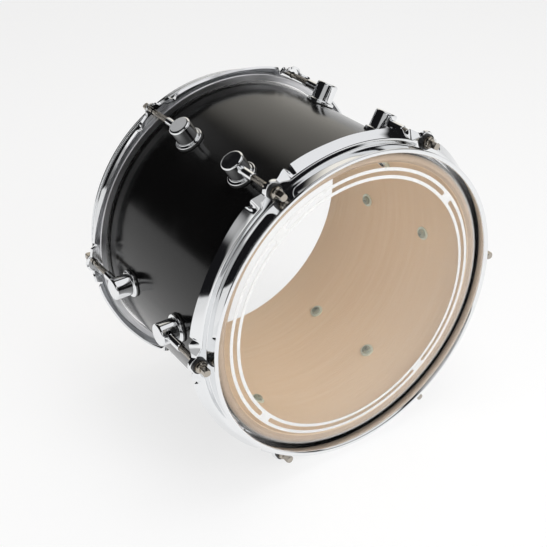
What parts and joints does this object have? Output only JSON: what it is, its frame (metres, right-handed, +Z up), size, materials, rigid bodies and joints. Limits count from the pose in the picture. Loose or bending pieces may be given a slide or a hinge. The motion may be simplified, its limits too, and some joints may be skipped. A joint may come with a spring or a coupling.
{
  "type": "tom drum",
  "caption": "Small tom drum lying on its side: black lacquered wood shell, round chrome post lugs, pressed chrome hoops and a clear batter head with a printed white ring.",
  "frame": {"origin": "centre of the bounding box, on the floor that the hoops rest on", "axes": "+Z up, the drum's axis along Y with the batter head facing -Y, +X to the right as seen from the batter side"},
  "size_m": [0.348, 0.2476, 0.332],
  "materials": {
    "shell_lacquer": "black gloss lacquer outside, clear sealed pale maple inside",
    "bright_chrome": "polished plating",
    "plated_steel": "turned and plated, slightly warm",
    "plain_steel": "zinc plated, dull",
    "bare_aluminium": "extruded, satin",
    "clear_film": "clear polyester film",
    "white_ring": "white printed film",
    "black_rubber": "thin matte pad",
    "black_nylon": "moulded, satin"
  },
  "bodies": {
    "shell": {"shell": "shell_lacquer", "vent_grommet": "bright_chrome", "vent_lock_ring": "plain_steel", "batter_lug_1": "bright_chrome", "batter_lug_2": "bright_chrome", "batter_lug_3": "bright_chrome", "batter_lug_4": "bright_chrome", "batter_lug_5": "bright_chrome", "batter_lug_6": "bright_chrome", "batter_lug_gaskets": "black_rubber", "batter_receivers": "bright_chrome", "batter_lug_screws": "plain_steel", "batter_screw_washers": "plain_steel", "resonant_lug_1": "bright_chrome", "resonant_lug_2": "bright_chrome", "resonant_lug_3": "bright_chrome", "resonant_lug_4": "bright_chrome", "resonant_lug_5": "bright_chrome", "resonant_lug_6": "bright_chrome", "resonant_lug_gaskets": "black_rubber", "resonant_receivers": "bright_chrome", "resonant_lug_screws": "plain_steel", "resonant_screw_washers": "plain_steel"},
    "batter_head": {"batter_film_lower": "clear_film", "batter_film_upper": "clear_film", "batter_damping_ring": "white_ring", "batter_flesh_hoop": "bare_aluminium"},
    "resonant_head": {"resonant_film": "clear_film", "resonant_flesh_hoop": "bare_aluminium"},
    "batter_hoop": {"batter_hoop": "bright_chrome", "batter_nylon_washers": "black_nylon"},
    "batter_rod_washer_1": {"batter_rod_washer_1": "plated_steel"},
    "batter_rod_1": {"batter_rod_1": "plated_steel"},
    "batter_rod_washer_2": {"batter_rod_washer_2": "plated_steel"},
    "batter_rod_2": {"batter_rod_2": "plated_steel"},
    "batter_rod_washer_3": {"batter_rod_washer_3": "plated_steel"},
    "batter_rod_3": {"batter_rod_3": "plated_steel"},
    "batter_rod_washer_4": {"batter_rod_washer_4": "plated_steel"},
    "batter_rod_4": {"batter_rod_4": "plated_steel"},
    "batter_rod_washer_5": {"batter_rod_washer_5": "plated_steel"},
    "batter_rod_5": {"batter_rod_5": "plated_steel"},
    "batter_rod_washer_6": {"batter_rod_washer_6": "plated_steel"},
    "batter_rod_6": {"batter_rod_6": "plated_steel"},
    "resonant_hoop": {"resonant_hoop": "bright_chrome", "resonant_nylon_washers": "black_nylon"},
    "resonant_rod_washer_1": {"resonant_rod_washer_1": "plated_steel"},
    "resonant_rod_1": {"resonant_rod_1": "plated_steel"},
    "resonant_rod_washer_2": {"resonant_rod_washer_2": "plated_steel"},
    "resonant_rod_2": {"resonant_rod_2": "plated_steel"},
    "resonant_rod_washer_3": {"resonant_rod_washer_3": "plated_steel"},
    "resonant_rod_3": {"resonant_rod_3": "plated_steel"},
    "resonant_rod_washer_4": {"resonant_rod_washer_4": "plated_steel"},
    "resonant_rod_4": {"resonant_rod_4": "plated_steel"},
    "resonant_rod_washer_5": {"resonant_rod_washer_5": "plated_steel"},
    "resonant_rod_5": {"resonant_rod_5": "plated_steel"},
    "resonant_rod_washer_6": {"resonant_rod_washer_6": "plated_steel"},
    "resonant_rod_6": {"resonant_rod_6": "plated_steel"}
  },
  "joints": [
    {"name": "batter_head_lift", "type": "slide", "parent": "shell", "child": "batter_head", "axis": [0, -1, 0], "range_m": [0, 0.06]},
    {"name": "batter_hoop_lift", "type": "slide", "parent": "batter_head", "child": "batter_hoop", "axis": [0, -1, 0], "range_m": [0, 0.04]},
    {"name": "batter_washer_rise_1", "type": "slide", "parent": "batter_hoop", "child": "batter_rod_washer_1", "axis": [0, -1, 0], "range_m": [0, 0.0201]},
    {"name": "batter_rod_turn_1", "type": "hinge", "parent": "batter_rod_washer_1", "child": "batter_rod_1", "pos_m": [0.1635, -0.1067, 0.166], "axis": [0, -1, 0], "range_deg": [0, 6840]},
    {"name": "batter_washer_rise_2", "type": "slide", "parent": "batter_hoop", "child": "batter_rod_washer_2", "axis": [0, -1, 0], "range_m": [0, 0.0201]},
    {"name": "batter_rod_turn_2", "type": "hinge", "parent": "batter_rod_washer_2", "child": "batter_rod_2", "pos_m": [0.08175, -0.1067, 0.3076], "axis": [0, -1, 0], "range_deg": [0, 6840]},
    {"name": "batter_washer_rise_3", "type": "slide", "parent": "batter_hoop", "child": "batter_rod_washer_3", "axis": [0, -1, 0], "range_m": [0, 0.0201]},
    {"name": "batter_rod_turn_3", "type": "hinge", "parent": "batter_rod_washer_3", "child": "batter_rod_3", "pos_m": [-0.08175, -0.1067, 0.3076], "axis": [0, -1, 0], "range_deg": [0, 6840]},
    {"name": "batter_washer_rise_4", "type": "slide", "parent": "batter_hoop", "child": "batter_rod_washer_4", "axis": [0, -1, 0], "range_m": [0, 0.0201]},
    {"name": "batter_rod_turn_4", "type": "hinge", "parent": "batter_rod_washer_4", "child": "batter_rod_4", "pos_m": [-0.1635, -0.1067, 0.166], "axis": [0, -1, 0], "range_deg": [0, 6840]},
    {"name": "batter_washer_rise_5", "type": "slide", "parent": "batter_hoop", "child": "batter_rod_washer_5", "axis": [0, -1, 0], "range_m": [0, 0.0201]},
    {"name": "batter_rod_turn_5", "type": "hinge", "parent": "batter_rod_washer_5", "child": "batter_rod_5", "pos_m": [-0.08175, -0.1067, 0.0244], "axis": [0, -1, 0], "range_deg": [0, 6840]},
    {"name": "batter_washer_rise_6", "type": "slide", "parent": "batter_hoop", "child": "batter_rod_washer_6", "axis": [0, -1, 0], "range_m": [0, 0.0201]},
    {"name": "batter_rod_turn_6", "type": "hinge", "parent": "batter_rod_washer_6", "child": "batter_rod_6", "pos_m": [0.08175, -0.1067, 0.0244], "axis": [0, -1, 0], "range_deg": [0, 6840]},
    {"name": "resonant_head_lift", "type": "slide", "parent": "shell", "child": "resonant_head", "axis": [0, 1, 0], "range_m": [0, 0.06]},
    {"name": "resonant_hoop_lift", "type": "slide", "parent": "resonant_head", "child": "resonant_hoop", "axis": [0, 1, 0], "range_m": [0, 0.04]},
    {"name": "resonant_washer_rise_1", "type": "slide", "parent": "resonant_hoop", "child": "resonant_rod_washer_1", "axis": [0, 1, 0], "range_m": [0, 0.0201]},
    {"name": "resonant_rod_turn_1", "type": "hinge", "parent": "resonant_rod_washer_1", "child": "resonant_rod_1", "pos_m": [0.1635, 0.1067, 0.166], "axis": [0, 1, 0], "range_deg": [0, 6840]},
    {"name": "resonant_washer_rise_2", "type": "slide", "parent": "resonant_hoop", "child": "resonant_rod_washer_2", "axis": [0, 1, 0], "range_m": [0, 0.0201]},
    {"name": "resonant_rod_turn_2", "type": "hinge", "parent": "resonant_rod_washer_2", "child": "resonant_rod_2", "pos_m": [0.08175, 0.1067, 0.3076], "axis": [0, 1, 0], "range_deg": [0, 6840]},
    {"name": "resonant_washer_rise_3", "type": "slide", "parent": "resonant_hoop", "child": "resonant_rod_washer_3", "axis": [0, 1, 0], "range_m": [0, 0.0201]},
    {"name": "resonant_rod_turn_3", "type": "hinge", "parent": "resonant_rod_washer_3", "child": "resonant_rod_3", "pos_m": [-0.08175, 0.1067, 0.3076], "axis": [0, 1, 0], "range_deg": [0, 6840]},
    {"name": "resonant_washer_rise_4", "type": "slide", "parent": "resonant_hoop", "child": "resonant_rod_washer_4", "axis": [0, 1, 0], "range_m": [0, 0.0201]},
    {"name": "resonant_rod_turn_4", "type": "hinge", "parent": "resonant_rod_washer_4", "child": "resonant_rod_4", "pos_m": [-0.1635, 0.1067, 0.166], "axis": [0, 1, 0], "range_deg": [0, 6840]},
    {"name": "resonant_washer_rise_5", "type": "slide", "parent": "resonant_hoop", "child": "resonant_rod_washer_5", "axis": [0, 1, 0], "range_m": [0, 0.0201]},
    {"name": "resonant_rod_turn_5", "type": "hinge", "parent": "resonant_rod_washer_5", "child": "resonant_rod_5", "pos_m": [-0.08175, 0.1067, 0.0244], "axis": [0, 1, 0], "range_deg": [0, 6840]},
    {"name": "resonant_washer_rise_6", "type": "slide", "parent": "resonant_hoop", "child": "resonant_rod_washer_6", "axis": [0, 1, 0], "range_m": [0, 0.0201]},
    {"name": "resonant_rod_turn_6", "type": "hinge", "parent": "resonant_rod_washer_6", "child": "resonant_rod_6", "pos_m": [0.08175, 0.1067, 0.0244], "axis": [0, 1, 0], "range_deg": [0, 6840]}
  ],
  "couplings": [
    {"joint": "batter_rod_turn_1", "follows": "batter_washer_rise_1", "rad_per_m": 5938.7},
    {"joint": "batter_rod_turn_2", "follows": "batter_washer_rise_2", "rad_per_m": 5938.7},
    {"joint": "batter_rod_turn_3", "follows": "batter_washer_rise_3", "rad_per_m": 5938.7},
    {"joint": "batter_rod_turn_4", "follows": "batter_washer_rise_4", "rad_per_m": 5938.7},
    {"joint": "batter_rod_turn_5", "follows": "batter_washer_rise_5", "rad_per_m": 5938.7},
    {"joint": "batter_rod_turn_6", "follows": "batter_washer_rise_6", "rad_per_m": 5938.7},
    {"joint": "resonant_rod_turn_1", "follows": "resonant_washer_rise_1", "rad_per_m": 5938.7},
    {"joint": "resonant_rod_turn_2", "follows": "resonant_washer_rise_2", "rad_per_m": 5938.7},
    {"joint": "resonant_rod_turn_3", "follows": "resonant_washer_rise_3", "rad_per_m": 5938.7},
    {"joint": "resonant_rod_turn_4", "follows": "resonant_washer_rise_4", "rad_per_m": 5938.7},
    {"joint": "resonant_rod_turn_5", "follows": "resonant_washer_rise_5", "rad_per_m": 5938.7},
    {"joint": "resonant_rod_turn_6", "follows": "resonant_washer_rise_6", "rad_per_m": 5938.7}
  ]
}
